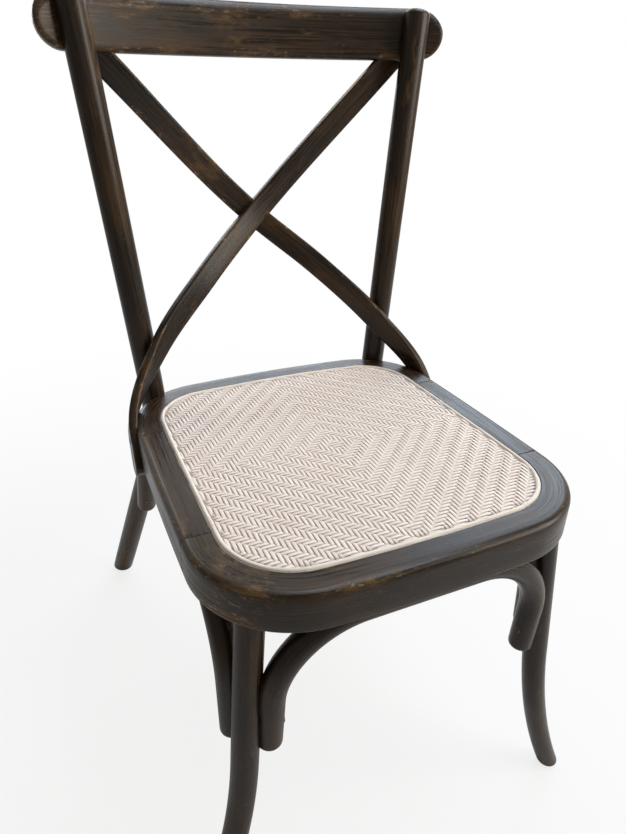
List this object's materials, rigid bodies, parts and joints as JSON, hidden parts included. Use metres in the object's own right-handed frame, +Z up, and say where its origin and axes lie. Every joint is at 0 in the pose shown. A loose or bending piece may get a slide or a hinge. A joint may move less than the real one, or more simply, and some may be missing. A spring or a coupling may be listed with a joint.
{
  "type": "cross back dining chair",
  "caption": "Wooden dining chair with bent rear posts, a crossed-slat back under a curved top rail, a woven cane seat and arched braces between its legs.",
  "frame": {"origin": "on the floor, midway between the four feet, which is under the middle of the chair's box", "axes": "+Z up along the chair's height, -Y towards the front of the chair, +X to the right of someone who faces the chair's front"},
  "size_m": [0.5206, 0.6266, 0.8926],
  "materials": {
    "dark_wood": "dark espresso stain, brushed and worn, low sheen",
    "woven_cane": "pale whitewashed cane, herringbone weave",
    "cane_spline": "pale reed, matt",
    "dowel_wood": "plain beech",
    "steel": "dark plated wood screws",
    "glide": "black moulded nylon"
  },
  "bodies": {
    "root": {"front_leg_left": "dark_wood", "front_leg_right": "dark_wood", "rear_leg_left": "dark_wood", "rear_leg_right": "dark_wood", "top_rail": "dark_wood", "cross_slat_front": "dark_wood", "cross_slat_rear": "dark_wood", "seat_frame_front": "dark_wood", "seat_frame_back": "dark_wood", "seat_frame_left": "dark_wood", "seat_frame_right": "dark_wood", "woven_seat_panel": "woven_cane", "seat_spline": "cane_spline", "front_arch_brace": "dark_wood", "rear_arch_brace": "dark_wood", "left_arch_brace": "dark_wood", "right_arch_brace": "dark_wood", "frame_joint_dowels": "dowel_wood", "rear_leg_screws": "steel", "top_rail_screws": "steel", "slat_foot_screws": "steel", "slat_cross_screw": "steel", "arch_frame_screws": "steel", "arch_leg_screws": "steel", "foot_glides": "glide"}
  },
  "joints": []
}
